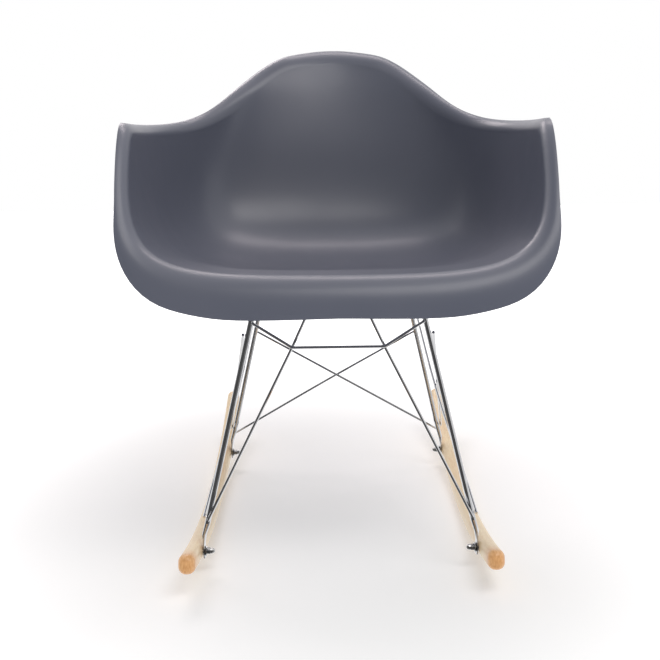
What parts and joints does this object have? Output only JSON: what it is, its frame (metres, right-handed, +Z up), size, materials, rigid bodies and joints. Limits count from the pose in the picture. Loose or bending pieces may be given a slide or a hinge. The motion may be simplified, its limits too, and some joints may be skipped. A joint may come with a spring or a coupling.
{
  "type": "rocking armchair",
  "caption": "Rocking armchair with a moulded plastic bucket shell, a welded chrome wire base and two curved wooden runners.",
  "frame": {"origin": "on the floor, under the middle of the chair's bounding box", "axes": "+X to the right as seen from the front, the chair faces -Y, +Z up"},
  "size_m": [0.6214, 0.6995, 0.7798],
  "materials": {
    "shell_plastic": "satin",
    "chrome": "polished",
    "zinc_steel": "satin",
    "mount_rubber": "matte",
    "insert_brass": "satin",
    "runner_wood": "satin lacquer"
  },
  "bodies": {
    "root": {"seat_shell": "shell_plastic", "side_frame_left": "chrome", "runner_left": "runner_wood", "side_brace_rising_left": "chrome", "side_brace_falling_left": "chrome", "mount_plate_front_left": "chrome", "mount_rubber_front_left": "mount_rubber", "mount_screw_front_left": "zinc_steel", "mount_washer_front_left": "zinc_steel", "shell_insert_front_left": "insert_brass", "runner_bolt_front_left": "zinc_steel", "runner_nut_front_left": "zinc_steel", "runner_washer_outer_front_left": "zinc_steel", "runner_washer_inner_front_left": "zinc_steel", "mount_plate_rear_left": "chrome", "mount_rubber_rear_left": "mount_rubber", "mount_screw_rear_left": "zinc_steel", "mount_washer_rear_left": "zinc_steel", "shell_insert_rear_left": "insert_brass", "runner_bolt_rear_left": "zinc_steel", "runner_nut_rear_left": "zinc_steel", "runner_washer_outer_rear_left": "zinc_steel", "runner_washer_inner_rear_left": "zinc_steel", "side_frame_right": "chrome", "runner_right": "runner_wood", "side_brace_rising_right": "chrome", "side_brace_falling_right": "chrome", "mount_plate_front_right": "chrome", "mount_rubber_front_right": "mount_rubber", "mount_screw_front_right": "zinc_steel", "mount_washer_front_right": "zinc_steel", "shell_insert_front_right": "insert_brass", "runner_bolt_front_right": "zinc_steel", "runner_nut_front_right": "zinc_steel", "runner_washer_outer_front_right": "zinc_steel", "runner_washer_inner_front_right": "zinc_steel", "mount_plate_rear_right": "chrome", "mount_rubber_rear_right": "mount_rubber", "mount_screw_rear_right": "zinc_steel", "mount_washer_rear_right": "zinc_steel", "shell_insert_rear_right": "insert_brass", "runner_bolt_rear_right": "zinc_steel", "runner_nut_rear_right": "zinc_steel", "runner_washer_outer_rear_right": "zinc_steel", "runner_washer_inner_rear_right": "zinc_steel", "front_truss_lower": "chrome", "front_truss_upper": "chrome", "rear_truss_lower": "chrome", "rear_brace_falling_right": "chrome", "rear_brace_falling_left": "chrome"}
  },
  "joints": []
}
